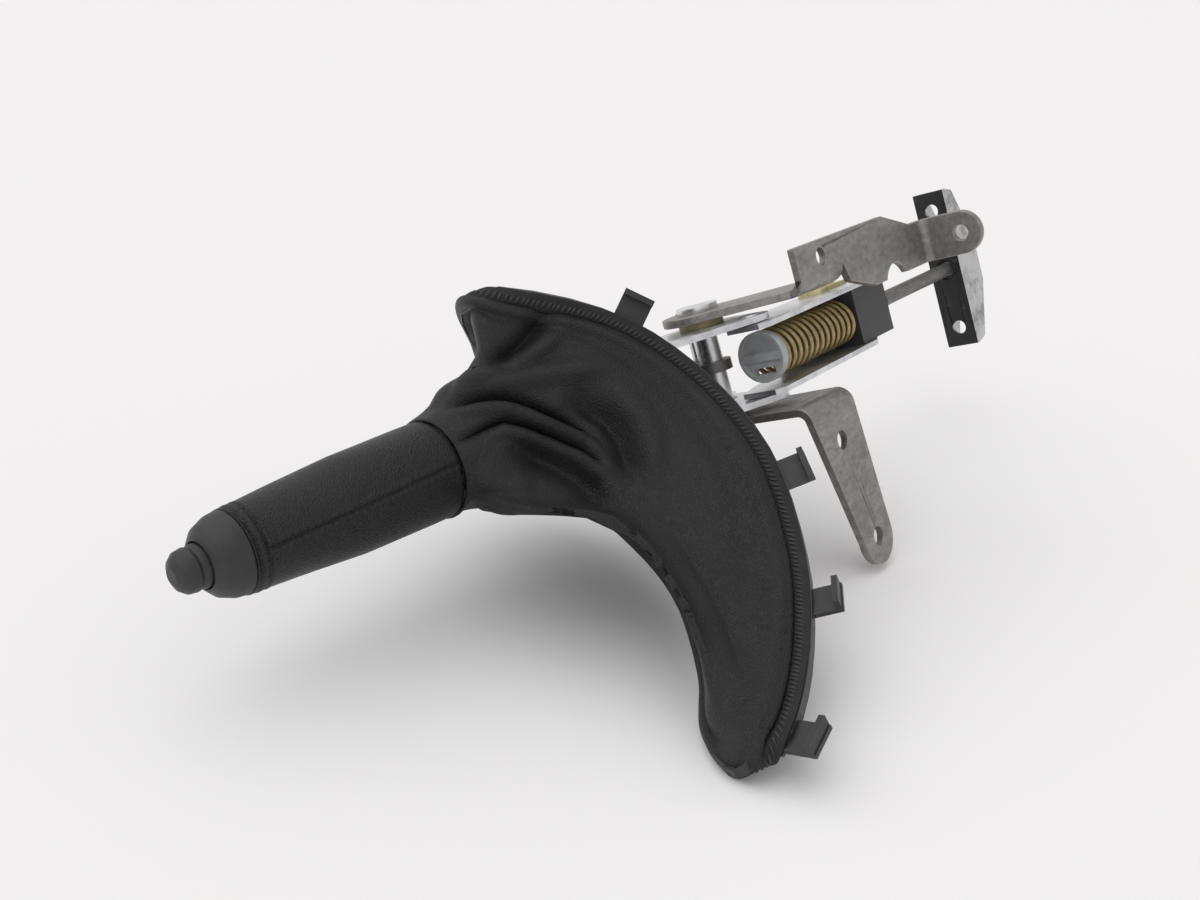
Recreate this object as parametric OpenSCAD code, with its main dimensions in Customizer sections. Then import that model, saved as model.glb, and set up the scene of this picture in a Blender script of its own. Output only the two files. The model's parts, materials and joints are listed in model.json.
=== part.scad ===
/* [Pose] */
// Roll about the lever's length that lays it on its side
lie_roll = 110; // [90:1:120]

/* [Bracket] */
// Thickness of the bracket plates
plate_t = 4; // [3:0.5:5]
// Clear width between the bracket's side plates
bracket_w = 47.4; // [46.8:0.2:52]
// Drop from the pivot axis to the underside of the feet
foot_drop = 58; // [56:1:64]
// Inside radius of the plate bends
bend_r = 4; // [2:0.5:6]
// Radius of the plate round the pivot
pivot_boss_r = 18; // [15:0.5:22]
// Width of the right side plate at its foot
right_plate_w = 40; // [34:1:48]
// Place of the right side plate's middle along the lever
right_plate_x = -3; // [-8:1:2]
// Distance from the side plate to the far hole of the right foot
right_foot_reach = 69; // [60:1:80]
// Rearward lean of the right foot at its far hole
right_foot_lean = 11; // [4:1:16]
// Distance from the side plate to the near hole of the right foot
right_hole_reach = 18; // [16:1:24]
// Radius of the right foot's tip
right_tip_r = 13.5; // [11:0.5:16]
// Radius of the bolt holes in the right foot
bolt_hole_r = 4.5; // [3.5:0.25:5.5]
// Front edge of the left foot
left_foot_front = -4; // [-10:1:0]
// Width of the left side plate at its foot
left_plate_w = 40; // [34:1:46]
// Length of the left foot's full width
left_foot_len = 88; // [80:1:96]
// Reach of the left foot outside its side plate
left_foot_reach = 18.3; // [16:0.5:24]
// Distance of the left foot's hole behind its front edge
left_hole_back = 22; // [16:1:30]
// Radius of the left foot's hole
left_hole_r = 4.25; // [3:0.25:5]
// Length of the neck behind the left foot
neck_len = 36; // [30:1:42]
// Width of the neck and its turned-down tab
neck_w = 22.5; // [19:0.5:26]
// Inner edge of the neck, from the middle plane
neck_inner = 14.5; // [12:0.5:17]
// Length of the turned-down tab
tab_len = 32; // [28:1:38]
// Radius of the hole in the tab
tab_hole_r = 4; // [3:0.25:5]

/* [Pivot] */
// Radius of the pivot pin
pivot_r = 6; // [4:0.5:7]
// Radius of the stop pin
stop_r = 4; // [3:0.5:5]
// Distance of the stop pin from the pivot
stop_dist = 19.8; // [19:0.2:24]
// Direction of the stop pin, from forward
stop_angle = 131; // [120:1:140]

/* [Lever] */
// Outside radius of the lever tube
tube_r = 13; // [11:0.5:14]
// Wall of the lever tube
tube_wall = 2; // [1.5:0.25:3]
// Rise of the lever's lower part
lever_rise = 18.8; // [14:0.2:24]
// Rise of the grip
grip_rise = 6.3; // [2:0.1:10]
// Distance from the pivot to the bend in the tube
bend_dist = 158; // [150:1:180]
// Radius of the bend in the tube
tube_bend_r = 70; // [50:5:100]
// Thickness of the lever's cheek plates
cheek_t = 3; // [2:0.25:3]
// Distance from the pivot down to the pull link's trunnions
link_arm = 28; // [26:0.5:34]
// Swing of the lever when it is pulled, for its clearances
lever_swing = 32; // [24:1:34]

/* [Grip] */
// Length of the leather sleeve
sleeve_len = 89; // [80:1:110]
// Distance from the tube's bend to the sleeve
sleeve_start = 9; // [6:1:20]
// Radius of the sleeve at its rear
sleeve_rear_r = 21.9; // [20:0.1:24]
// Radius of the sleeve at its front
sleeve_front_r = 17.4; // [16.5:0.1:20]
// Thickness of the leather on the grip
sleeve_t = 1.6; // [1:0.1:2]
// Length of the collar in front of the sleeve
collar_len = 14; // [11:0.5:18]
// Radius of the release button
button_r = 9; // [7:0.25:10]
// How far the button stands out of the collar
button_out = 12; // [9:0.5:16]
// Travel of the release button
button_travel = 6; // [4:0.5:7]

/* [Ratchet] */
// Radius at the roots of the ratchet teeth
ratchet_root_r = 43; // [38:0.5:45]
// Height of the ratchet teeth
tooth_h = 3; // [2:0.25:3.5]
// Angle from tooth to tooth
tooth_pitch = 4.5; // [3.5:0.5:6]
// Thickness of the ratchet plate and the pawl
ratchet_t = 5; // [3:0.5:6]

/* [Pull link] */
// Outside width of the pull link
link_w = 34; // [33:0.5:36]
// Thickness of the pull link's sheet
link_t = 2.5; // [1.5:0.25:3]
// Reach of the pull link behind the trunnions
link_len = 97; // [90:1:104]
// Radius of the adjuster spring's outside
spring_r = 12; // [10:0.25:12.5]
// Radius of the spring's wire
wire_r = 1.25; // [0.8:0.05:1.5]
// Length of the adjuster spring
spring_len = 73; // [66:1:80]
// Number of turns in the adjuster spring
spring_turns = 13; // [9:1:16]
// Thickness of the spring cap
cap_t = 5; // [4:0.5:7]
// Length of the adjuster block
block_len = 34; // [28:1:40]
// Radius of the pull rod
rod_r = 4; // [3:0.25:5]

/* [Equaliser] */
// Distance from the pivot back to the equaliser
equaliser_back = 212; // [195:1:225]
// Length of the equaliser
equaliser_len = 92; // [80:1:104]
// Height of the equaliser's web
equaliser_h = 19; // [16:0.5:24]
// Depth of the equaliser's flanges at the middle
equaliser_deep = 24; // [18:0.5:28]
// Depth of the equaliser's flanges at the ends
equaliser_tip = 9; // [6:0.5:14]
// Thickness of the equaliser's sheet
equaliser_t = 3; // [2:0.25:3.5]
// Distance between the equaliser's cable holes
cable_span = 70; // [60:1:78]
// Radius of the cable holes
cable_hole_r = 4; // [3:0.25:5]

/* [Boot] */
// Thickness of the boot leather
boot_t = 2; // [1.2:0.1:2.4]
// Height of the boot frame's rim
frame_h = 10; // [8:0.5:12]
// Thickness of the boot frame's rim
frame_t = 4; // [3:0.5:5]
// Width of the frame's clips
clip_w = 14; // [10:1:18]

/* [Hidden] */
$fn = 64;

// Clearances
run_gap = 0.05;
free_gap = 0.3;
// How far a cutter runs past what it cuts
over = 1;

// Bracket places, in the lever's working frame: x forward, y left, z up, origin on the pivot
plate_in = bracket_w / 2;
plate_out = plate_in + plate_t;
foot_top = plate_t - foot_drop;
bend_top = foot_top + bend_r;
foot_y = plate_out + bend_r;
right_x1 = right_plate_x + right_plate_w / 2;
right_x0 = right_plate_x - right_plate_w / 2;
right_hole_lean = 1;
right_hole = [right_plate_x - right_hole_lean, -plate_out - right_hole_reach];
right_tip = [right_plate_x - right_foot_lean, -plate_out - right_foot_reach];
left_x0 = left_foot_front - left_plate_w;
left_rear = left_foot_front - left_foot_len;
neck_end = left_rear - neck_len;
neck_outer = neck_inner + neck_w;
left_outer = plate_out + left_foot_reach;
left_hole_share = 0.57;
left_hole = [left_foot_front - left_hole_back, plate_out + left_foot_reach * left_hole_share];
cut_r = 13;
cut_at = [left_rear - 3, neck_inner - 6];
neck_chamfer = 8;
neck_blend = 20;
foot_lap = [4, 2];
tab_hole_z = -foot_drop - tab_len + neck_w / 2;

// Pins
stop_at = stop_dist * [cos(stop_angle), sin(stop_angle)];
pin_head_r = 10;
pin_head_t = 3;
stop_head_r = 6;
stop_head_t = 2;

// Lever places
link_out = link_w / 2;
link_side_gap = 0.5;
cheek_in = link_out + link_side_gap;
cheek_out = cheek_in + cheek_t;
cheek_stop_gap = 0.8;
cheek_pivot_r = stop_dist - stop_r - cheek_stop_gap;
stop_rim = 1;
bush_end_gap = 0.2;
link_eye_r = 9;
trunnion_r = 5;
bush_wall = 2;
bush_flange_r = 11;
tube_start = 70;
rivet_dists = [78, 96];
rivet_r = 3.5;
rivet_head_r = 6;
rivet_head_t = 2;
rivet_shoulder_r = 7;
rest_lug_r = 4;
rest_lug_turn = asin((stop_r + rest_lug_r + free_gap) / stop_dist);
bend_turn = lever_rise - grip_rise;
bend_reach = tube_bend_r * tan(bend_turn / 2);
tube_in = tube_r - tube_wall;

// Grip places, along the grip from the tube's bend
sleeve_end = sleeve_start + sleeve_len;
hem_len = 3;
hem_drop = 1;
belly_share = 0.4;
belly_drop = 0.6;
shoulder_shares = [0.35, 0.75];
shoulder_drops = [0.6, 3];
collar_lip = 1.6;
collar_end = sleeve_end + collar_len;
collar_floor = 1;
tube_end = sleeve_end - 1;
button_floor = sleeve_end + collar_floor;
button_base = button_floor + button_travel + free_gap;
button_end = collar_end + button_out;
groove_from = 2;
groove_mid = 3;
groove_to = 4.5;
groove_deep = 0.8;
button_crown = [4, 1.5];
crown_drops = [0.5, 2.5, 5.5];
spigot_len = 12;
stem_r = 6;
stem_side_gap = 1.5;
stem_flange_r = tube_in - stem_side_gap;
stem_flange_t = 3;
spigot_gap = 2;
flange_front = sleeve_end - spigot_len - spigot_gap;
flange_back = flange_front - stem_flange_t;
seat_t = 3.5;
button_spring_len = 17;
button_wire_r = 0.7;
button_turns = 6;
button_spring_r = stem_flange_r - 0.8;
spring_end_gap = 0.1;
seat_front = flange_back - button_spring_len;
seat_back = seat_front - seat_t;
rod_wire_r = 2.5;
rod_faces = 16;
rod_bend_steps = 6;

// Ratchet and pawl
tip_r = ratchet_root_r + tooth_h;
pawl_angle = 46;
tooth_lead = 4;
tooth_from = pawl_angle - tooth_lead;
tooth_count = ceil((lever_swing + 2 * tooth_lead) / tooth_pitch);
tooth_steep = 0.15;
tooth_flat = 0.3;
sector_boss_r = 9.5;
sector_wall = 2;
sector_foot_r = sector_boss_r - sector_wall;
pawl_reach = 12;
pawl_pin_angle = 30;
pawl_at = (tip_r + pawl_reach) * [cos(pawl_pin_angle), sin(pawl_pin_angle)];
pawl_tooth_gap = 0.4;
pawl_nose = (tip_r + pawl_tooth_gap) * [cos(pawl_angle), sin(pawl_angle)];
pawl_tail = pawl_at + [4.5, -13];
pawl_pin_r = 3;
pawl_boss_r = 6;
pawl_end_r = 3;
pawl_arm_r = pawl_boss_r - 2;
pawl_top = [[-2, pawl_boss_r - 0.5], [1, 4]];
pawl_low = [-3, 2 - pawl_boss_r];
pawl_spacer = 2;
pawl_rim = 3;
cheek_tip = 1;
rod_end_dist = 64.5;

// Pull link and rod, along x with the rod's axis below the pivot
link_top = spring_r + 1;
link_low = -14;
link_front = 10;
link_chamfer = 4;
link_front_h = 8;
link_front_slope = 8;
link_rear_low = [10, 5];
link_rear_drop = 3;
web_back = 14;
boss_r = 4;
trunnion_proud = 0.5;
block_lift = 3;
web_front = -36;
block_front = -cap_t - spring_len - 2 * free_gap;
block_half = link_out - link_t - free_gap;
rod_tail = 7;
cap_rim = 0.4;
cap_sunk = 1.2;
cap_bar_w = 4;
cap_bar_end = 0.6;
cap_window = [-8.5, -6];
cap_window_size = [3.2, 12];
web_x = -equaliser_back;
barrel_r = 7.5;
barrel_half = equaliser_h / 2 - equaliser_t - free_gap;
barrel_x = web_x - equaliser_t / 2 - barrel_r - run_gap;
rock_angle = 8;
tip_slope = 2;
flange_mid = 12;
rod_hole_r = rod_r + barrel_r * sin(rock_angle) + 2 * free_gap;
shoe_len = 26;
shoe_r = 4;
shoe_t = 2;
shoe_h = 14;
shoe_low = -2;
shoe_back = 6;

// Boot: points on the frame's rim, chosen by hand round its loop
rim_points = [
    [105, 64, 38], [71, 41, 2], [54, 7, -26], [58, -33, -54], [83, -72, -75], [122, -97, -93],
    [162, -112, -104], [172, -120, -90], [160, -112, -74], [126, -102, -52],
    [76, -82, -6], [44, -46, 57], [39, -2, 94], [62, 40, 84]
];
rim_steps = 4;
rim_count = len(rim_points) * rim_steps;
rim_out = [-0.67, 0.23, -0.71];
clip_steps = [5, 13, 18, 24];
clip_root = 2;
clip_t = 2;
clip_len = 14;
barb_at = 9;
barb_reach = 7;
barb_t = 2.5;
boot_rings = 9;
neck_lap = 5;
neck_at = sleeve_start + neck_lap;
neck_run = 10;
hem_lift = 3.5;
neck_gap = 1;
neck_r = sleeve_rear_r + neck_gap + boot_t;
boot_flare = 0.45;
boot_step = 0.25 / boot_rings;

// Places and turns

function unit(v) = v / norm(v);

// A point on the closed smooth curve through the rim points
function rim(i) =
    let (
        n = len(rim_points),
        k = floor(i / rim_steps),
        t = i / rim_steps - k,
        a = rim_points[(k + n - 1) % n],
        b = rim_points[k % n],
        c = rim_points[(k + 1) % n],
        d = rim_points[(k + 2) % n]
    )
    (2 * b + (c - a) * t + (2 * a - 5 * b + 4 * c - d) * t * t
        + (3 * b - a - 3 * c + d) * t * t * t) / 2;

function rim_dir(i) = unit(rim((i + 1) % rim_count) - rim((i + rim_count - 1) % rim_count));

// Across the rim: the way the clips point, square to the rim
function rim_down(i) = let (t = rim_dir(i)) unit(rim_out - (rim_out * t) * t);

function rim_side(i) = cross(rim_dir(i), rim_down(i));

// Directions along a rise and square to it, in the lever's plane
function along(rise) = [cos(rise), 0, sin(rise)];

function across(rise) = [-sin(rise), 0, cos(rise)];

function bend_point() = bend_dist * along(lever_rise);

function grip_point(s, r, turn) =
    bend_point() + s * along(grip_rise) + r * (cos(turn) * [0, 1, 0] + sin(turn) * across(grip_rise));

neck_mid = grip_point(neck_at, 0, 0);

function rolled(p) = [
    p.x,
    p.y * cos(lie_roll) - p.z * sin(lie_roll),
    p.y * sin(lie_roll) + p.z * cos(lie_roll)
];

origin_at = [right_hole.x, right_hole.y, foot_top - plate_t / 2];

// Lays the working frame on its side, with the right foot's near hole at the origin
module lay() {
    translate(-rolled(origin_at)) rotate([lie_roll, 0, 0]) children();
}

// A round bar along y
module bar_y(r, from, to) {
    translate([0, from, 0]) rotate([-90, 0, 0]) cylinder(r = r, h = to - from);
}

// A round bar along x
module bar_x(r, from, to) {
    translate([from, 0, 0]) rotate([0, 90, 0]) cylinder(r = r, h = to - from);
}

// A flat outline drawn in x and z, as a sheet across y
module sheet_y(from, to) {
    translate([0, to, 0]) rotate([90, 0, 0]) linear_extrude(to - from) children();
}

// A profile drawn as distance along x and radius, turned about x
module turned_x() {
    rotate([0, 90, 0]) rotate_extrude() rotate(90) mirror([0, 1]) children();
}

module at_pivot_line(p) {
    translate([p.x, 0, p.y]) children();
}

module base_frame() {
    rotate([0, -lever_rise, 0]) children();
}

module grip_frame() {
    translate(bend_point()) rotate([0, -grip_rise, 0]) children();
}

module rod_frame() {
    translate([0, 0, -link_arm]) children();
}

// Two like pieces, on the left and the right of the lever
module both_sides() {
    children();
    mirror([0, 1, 0]) children();
}

// A closed tube of rings, from a list of rings of points
module skin(rings, closed) {
    n = len(rings[0]);
    m = len(rings);
    last = closed ? m - 1 : m - 2;
    points = [for (ring = rings) for (p = ring) p];
    sides = [
        for (j = [0 : last]) for (i = [0 : n - 1])
            [j * n + i, j * n + (i + 1) % n, ((j + 1) % m) * n + (i + 1) % n, ((j + 1) % m) * n + i]
    ];
    ends = closed ? [] : [[for (i = [n - 1 : -1 : 0]) i], [for (i = [0 : n - 1]) (m - 1) * n + i]];
    polyhedron(points, concat(sides, ends));
}

// A round wire wound along x
module coil(r, wire, from, to, turns, steps, faces) {
    rings = [
        for (k = [0 : turns * steps])
            let (
                a = 360 * k / steps,
                x = from + wire + (to - from - 2 * wire) * k / (turns * steps)
            )
            [for (f = [0 : faces - 1])
                let (b = 360 * f / faces, q = r - wire + wire * cos(b))
                [x + wire * sin(b), q * cos(a), q * sin(a)]]
    ];
    skin(rings, false);
}

// Bracket

module side_plate(x0, x1) {
    difference() {
        sheet_y(plate_in, plate_out) {
            circle(pivot_boss_r);
            at_stop() circle(stop_head_r + stop_rim);
            polygon([[-pivot_boss_r, 0], [pivot_boss_r, 0], [x1, bend_top], [x0, bend_top]]);
        }
        bar_y(pivot_r + run_gap, plate_in - over, plate_out + over);
        at_pivot_line(stop_at) bar_y(stop_r + run_gap, plate_in - over, plate_out + over);
    }
    translate([x0, foot_y, bend_top]) mirror([0, 1, 0]) rotate([0, 90, 0])
        rotate_extrude(angle = 90) translate([bend_r, 0]) square([plate_t, x1 - x0]);
}

module at_stop() {
    translate(stop_at) children();
}

module bracket_right() {
    color("gray") lay() {
        mirror([0, 1, 0]) side_plate(right_x0, right_x1);
        difference() {
            translate([0, 0, -foot_drop]) linear_extrude(plate_t) {
                translate(right_tip) circle(right_tip_r);
                polygon([
                    [right_x0, -foot_y], [right_x1, -foot_y],
                    right_tip + [right_tip_r, 0], right_tip - [right_tip_r, 0]
                ]);
            }
            for (p = [right_hole, right_tip])
                translate([p.x, p.y, -foot_drop - over])
                    cylinder(r = bolt_hole_r, h = plate_t + 2 * over);
        }
    }
}

module bracket_left() {
    color("gray") lay() {
        side_plate(left_x0, left_foot_front);
        difference() {
            translate([0, 0, -foot_drop]) linear_extrude(plate_t) difference() {
                polygon([
                    [left_foot_front, foot_y], [left_foot_front, left_outer], [left_rear, left_outer],
                    [neck_end + neck_chamfer, neck_outer], [neck_end, neck_outer], [neck_end, neck_inner],
                    [left_rear + neck_blend, neck_inner],
                    [left_x0 - foot_lap.x, plate_in - foot_lap.y], [left_x0, foot_y]
                ]);
                translate(cut_at) circle(cut_r);
            }
            translate([left_hole.x, left_hole.y, -foot_drop - over])
                cylinder(r = left_hole_r, h = plate_t + 2 * over);
        }
        translate([neck_end, neck_outer, -foot_drop - bend_r]) rotate([90, 0, 0]) rotate(90)
            rotate_extrude(angle = 90) translate([bend_r, 0]) square([plate_t, neck_w]);
        difference() {
            translate([neck_end - bend_r - plate_t, 0, 0]) rotate([90, 0, 90]) linear_extrude(plate_t) {
                translate([neck_inner + neck_w / 2, tab_hole_z]) circle(neck_w / 2);
                translate([neck_inner, tab_hole_z])
                    square([neck_w, -foot_drop - bend_r - tab_hole_z]);
            }
            translate([0, neck_inner + neck_w / 2, tab_hole_z])
                bar_x(tab_hole_r, neck_end - bend_r - plate_t - over, neck_end - bend_r + over);
        }
    }
}

module cross_pin(r, head_r, head_t) {
    bar_y(r, -plate_out, plate_out);
    both_sides() bar_y(head_r, plate_out, plate_out + head_t);
}

module pivot_pin() {
    color("silver") lay() cross_pin(pivot_r, pin_head_r, pin_head_t);
}

module stop_pin() {
    color("silver") lay() at_pivot_line(stop_at) cross_pin(stop_r, stop_head_r, stop_head_t);
}

// One tooth of the ratchet, as points from its steep face to the root behind it
function tooth(a) = [
    ratchet_root_r * [cos(a), sin(a)],
    tip_r * [cos(a + tooth_pitch * tooth_steep), sin(a + tooth_pitch * tooth_steep)],
    tip_r * [cos(a + tooth_pitch * tooth_flat), sin(a + tooth_pitch * tooth_flat)]
];

module ratchet_sector() {
    edge = [for (i = [0 : tooth_count - 1]) for (p = tooth(tooth_from + i * tooth_pitch)) p];
    last = tooth_from + tooth_count * tooth_pitch;
    rear = ratchet_root_r * [cos(last), sin(last)];
    foot = sector_foot_r * [cos(tooth_from - 90), sin(tooth_from - 90)];
    color("dimgray") lay() difference() {
        sheet_y(-ratchet_t / 2, ratchet_t / 2) {
            circle(sector_boss_r);
            at_stop() circle(stop_head_r + stop_rim);
            polygon(concat([foot], edge, [rear, stop_at, [-sector_foot_r, 0]]));
        }
        bar_y(pivot_r + run_gap, -ratchet_t, ratchet_t);
        at_pivot_line(stop_at) bar_y(stop_r + run_gap, -ratchet_t, ratchet_t);
    }
}

// Lever

// The bend between the lever's lower part and its grip, along the turned section
module at_bend() {
    translate([bend_dist - bend_reach, 0, -tube_bend_r]) rotate([90, 0, 0]) rotate(90 - bend_turn)
        rotate_extrude(angle = bend_turn) translate([tube_bend_r, 0]) children();
}

module lever_tube() {
    straight_end = bend_dist - bend_reach;
    color("dimgray") lay() {
        base_frame() {
            difference() {
                bar_x(tube_r, tube_start, straight_end);
                bar_x(tube_in, tube_start - over, straight_end + over);
                for (d = rivet_dists)
                    translate([d, 0, 0]) bar_y(rivet_r + run_gap, -tube_r - over, tube_r + over);
            }
            at_bend() difference() {
                circle(tube_r);
                circle(tube_in);
            }
        }
        grip_frame() difference() {
            bar_x(tube_r, bend_reach, tube_end);
            bar_x(tube_in, bend_reach - over, tube_end + over);
        }
    }
}

module lever_cheeks() {
    front = rivet_dists[1] * [cos(lever_rise), sin(lever_rise)];
    color("lightgray") lay() both_sides() difference() {
        sheet_y(cheek_in, cheek_out) {
            hull() {
                circle(cheek_pivot_r);
                translate([0, -link_arm]) circle(link_eye_r);
                translate(pawl_at) circle(pawl_boss_r + pawl_rim);
                translate(front) circle(tube_r - cheek_tip);
            }
            hull() {
                circle(rest_lug_r);
                rotate(rest_lug_turn) at_stop() circle(rest_lug_r);
            }
        }
        bar_y(pivot_r + bush_wall, cheek_in - over, cheek_out + over);
        rod_frame() bar_y(trunnion_r + run_gap, cheek_in - over, cheek_out + over);
        at_pivot_line(pawl_at) bar_y(pawl_pin_r + run_gap, cheek_in - over, cheek_out + over);
        base_frame() for (d = rivet_dists)
            translate([d, 0, 0]) bar_y(rivet_r + run_gap, cheek_in - over, cheek_out + over);
    }
}

module pivot_bushes() {
    color("khaki") lay() both_sides() difference() {
        union() {
            bar_y(pivot_r + bush_wall, cheek_in, cheek_out);
            bar_y(bush_flange_r, cheek_out, plate_in - bush_end_gap);
        }
        bar_y(pivot_r + run_gap, cheek_in - over, plate_in + over);
    }
}

module cheek_rivets() {
    color("silver") lay() base_frame() for (d = rivet_dists) translate([d, 0, 0]) both_sides() {
        bar_y(rivet_r, tube_in - rivet_head_t, cheek_out);
        bar_y(rivet_shoulder_r, tube_r, cheek_in);
        bar_y(rivet_head_r, cheek_out, cheek_out + rivet_head_t);
    }
}

// Grip

module grip_core() {
    color("black") lay() grip_frame() turned_x() polygon([
        [sleeve_start + hem_len, tube_r], [sleeve_end, tube_r],
        [sleeve_end, sleeve_front_r - sleeve_t], [sleeve_start + hem_len, sleeve_rear_r - sleeve_t]
    ]);
}

module grip_sleeve() {
    color([0.1, 0.1, 0.1]) lay() grip_frame() turned_x() polygon([
        [sleeve_start + hem_len, sleeve_rear_r - sleeve_t], [sleeve_end, sleeve_front_r - sleeve_t],
        [sleeve_end, sleeve_front_r], [sleeve_start + sleeve_len * belly_share, sleeve_rear_r - belly_drop],
        [sleeve_start + hem_len, sleeve_rear_r], [sleeve_start, sleeve_rear_r - hem_drop],
        [sleeve_start, sleeve_rear_r - sleeve_t]
    ]);
}

module grip_collar() {
    color([0.12, 0.12, 0.12]) lay() grip_frame() difference() {
        union() {
            turned_x() polygon([
                [sleeve_end, 0], [sleeve_end, sleeve_front_r],
                [sleeve_end + collar_len * shoulder_shares[0], sleeve_front_r - shoulder_drops[0]],
                [sleeve_end + collar_len * shoulder_shares[1], sleeve_front_r - shoulder_drops[1]],
                [collar_end, button_r + collar_lip], [collar_end, 0]
            ]);
            bar_x(tube_in - run_gap, sleeve_end - spigot_len, sleeve_end);
        }
        bar_x(button_r + free_gap, button_floor, collar_end + over);
        bar_x(stem_r + run_gap, sleeve_end - spigot_len - over, button_floor + over);
    }
}

module spring_seat() {
    color("dimgray") lay() grip_frame() difference() {
        bar_x(tube_in - run_gap, seat_back, seat_front);
        bar_x(rod_wire_r + free_gap, seat_back - over, seat_front + over);
    }
}

module release_button() {
    color([0.08, 0.08, 0.08]) lay() grip_frame() {
        turned_x() polygon([
            [button_base, 0], [button_base, button_r], [collar_end + groove_from, button_r],
            [collar_end + groove_mid, button_r - groove_deep], [collar_end + groove_to, button_r],
            [button_end - button_crown[0], button_r - crown_drops[0]],
            [button_end - button_crown[1], button_r - crown_drops[1]],
            [button_end, button_r - crown_drops[2]], [button_end, 0]
        ]);
        bar_x(stem_r, flange_front, button_base);
        bar_x(stem_flange_r, flange_back, flange_front);
    }
}

// A ring of points round the button rod, square to its rise at that place
function rod_ring(p, rise) = [
    for (f = [0 : rod_faces - 1])
        let (b = 360 * f / rod_faces)
        p + rod_wire_r * (cos(b) * [0, 1, 0] + sin(b) * across(rise))
];

module button_rod() {
    bend_start = (bend_dist - bend_reach) * along(lever_rise);
    bend_middle = bend_start - tube_bend_r * across(lever_rise);
    rings = concat(
        [rod_ring(rod_end_dist * along(lever_rise), lever_rise)],
        [for (k = [0 : rod_bend_steps])
            let (rise = lever_rise - bend_turn * k / rod_bend_steps)
            rod_ring(bend_middle + tube_bend_r * across(rise), rise)],
        [rod_ring(bend_point() + flange_back * along(grip_rise), grip_rise)]
    );
    color("silver") lay() skin(rings, false);
}

module button_spring() {
    color("goldenrod") lay() grip_frame()
        coil(
            button_spring_r, button_wire_r, seat_front + spring_end_gap, flange_back - spring_end_gap,
            button_turns, 12, 6
        );
}

module pawl() {
    color("dimgray") lay() difference() {
        sheet_y(-ratchet_t / 2, ratchet_t / 2) {
            translate(pawl_at) circle(pawl_boss_r);
            hull() {
                translate(pawl_at) circle(pawl_arm_r);
                translate(pawl_tail) circle(pawl_end_r);
            }
            polygon([pawl_at + pawl_top[0], pawl_nose + pawl_top[1], pawl_nose, pawl_at + pawl_low]);
        }
        at_pivot_line(pawl_at) bar_y(pawl_pin_r + run_gap, -ratchet_t, ratchet_t);
    }
}

module pawl_pin() {
    color("silver") lay() at_pivot_line(pawl_at) {
        bar_y(pawl_pin_r, -cheek_out, cheek_out);
        both_sides() bar_y(pawl_pin_r + pawl_spacer, ratchet_t / 2 + free_gap, cheek_in);
    }
}

// Pull link

module link_channel() {
    color("lightgray") lay() rod_frame() {
        both_sides() {
            difference() {
                sheet_y(link_out - link_t, link_out) polygon([
                    [link_front, link_low + link_chamfer], [link_front - link_chamfer, link_low],
                    [-link_len + link_rear_low.x, link_low], [-link_len, link_low + link_rear_low.y],
                    [-link_len, link_top - link_rear_drop], [web_front, link_top + link_t],
                    [-link_front_slope, link_top], [link_front, link_front_h]
                ]);
                translate([block_front - block_len / 2, 0, 0])
                    bar_y(boss_r, link_out - link_t - over, link_out + over);
            }
            bar_y(trunnion_r, link_out, cheek_out + trunnion_proud);
        }
        translate([-link_len + web_back, -link_out + link_t, link_top])
            cube([link_len - web_back + web_front, link_w - 2 * link_t, link_t]);
    }
}

module adjuster_block() {
    color([0.08, 0.08, 0.09]) lay() rod_frame() difference() {
        union() {
            translate([block_front - block_len, -block_half, link_low + block_lift])
                cube([block_len, 2 * block_half, link_top - link_low - block_lift]);
            translate([block_front - block_len / 2, 0, 0]) both_sides()
                bar_y(boss_r - run_gap, block_half, link_out);
        }
        bar_x(rod_r + run_gap, block_front - block_len - over, block_front + over);
    }
}

module guide_shoe() {
    color("khaki") lay() rod_frame() translate([-link_len + shoe_back, 0, 0]) {
        translate([0, link_out, shoe_low]) cube([shoe_len, shoe_t, shoe_h]);
        translate([0, link_out + shoe_r, shoe_low + shoe_h - shoe_r]) bar_x(shoe_r, 0, shoe_len);
    }
}

module adjuster_spring() {
    color("goldenrod") lay() rod_frame()
        coil(spring_r, wire_r, block_front + free_gap, -cap_t - free_gap, spring_turns, 18, 7);
}

module spring_cap() {
    bar_half = spring_r - cap_bar_end;
    color("silver") lay() rod_frame() difference() {
        union() {
            bar_x(spring_r + cap_rim, -cap_t, -cap_sunk);
            difference() {
                bar_x(spring_r + cap_rim, -cap_t, 0);
                bar_x(spring_r - cap_sunk, -cap_sunk, over);
            }
            translate([-cap_sunk, -cap_bar_w / 2, -bar_half]) cube([cap_sunk, cap_bar_w, 2 * bar_half]);
        }
        translate([-cap_t - over, cap_window.x, cap_window.y])
            cube([cap_t + 2 * over, cap_window_size.x, cap_window_size.y]);
    }
}

module pull_rod() {
    color("dimgray") lay() rod_frame() bar_x(rod_r, barrel_x - barrel_r - rod_tail, -cap_t);
}

// The barrel nut that the equaliser rocks on
module rod_nut() {
    color("dimgray") lay() rod_frame() translate([barrel_x, 0, 0]) difference() {
        translate([0, 0, -barrel_half]) cylinder(r = barrel_r, h = 2 * barrel_half);
        bar_x(rod_r, -barrel_r - over, barrel_r + over);
    }
}

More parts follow.
